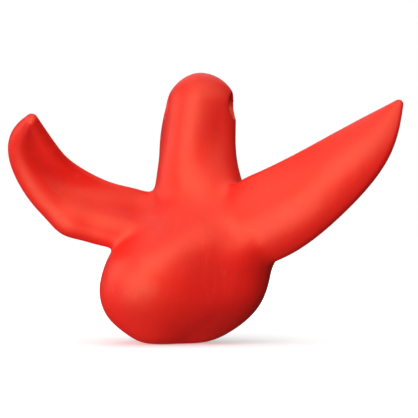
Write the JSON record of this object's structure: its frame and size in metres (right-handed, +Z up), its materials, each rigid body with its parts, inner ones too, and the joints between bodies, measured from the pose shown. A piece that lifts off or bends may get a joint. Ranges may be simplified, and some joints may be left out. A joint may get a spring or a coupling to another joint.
{
  "type": "grapnel anchor",
  "caption": "Ball-bodied boat anchor with swept pointed flukes round a short domed shank, cast iron under a soft red vinyl coat, with a rope eye across the shank.",
  "frame": {"origin": "point of the floor under the shank's axis, at the edge of the flat foot", "axes": "+Z up the shank, +X along the rope eye, +Y towards one of the flukes, between the other two's backs"},
  "size_m": [0.2643, 0.2495, 0.1895],
  "materials": {
    "iron": "as-cast grey iron, sealed under the coat",
    "vinyl": "soft dipped vinyl, matte with a faint sheen"
  },
  "bodies": {
    "root": {"cast_iron_core": "iron", "vinyl_coat": "vinyl"}
  },
  "joints": []
}
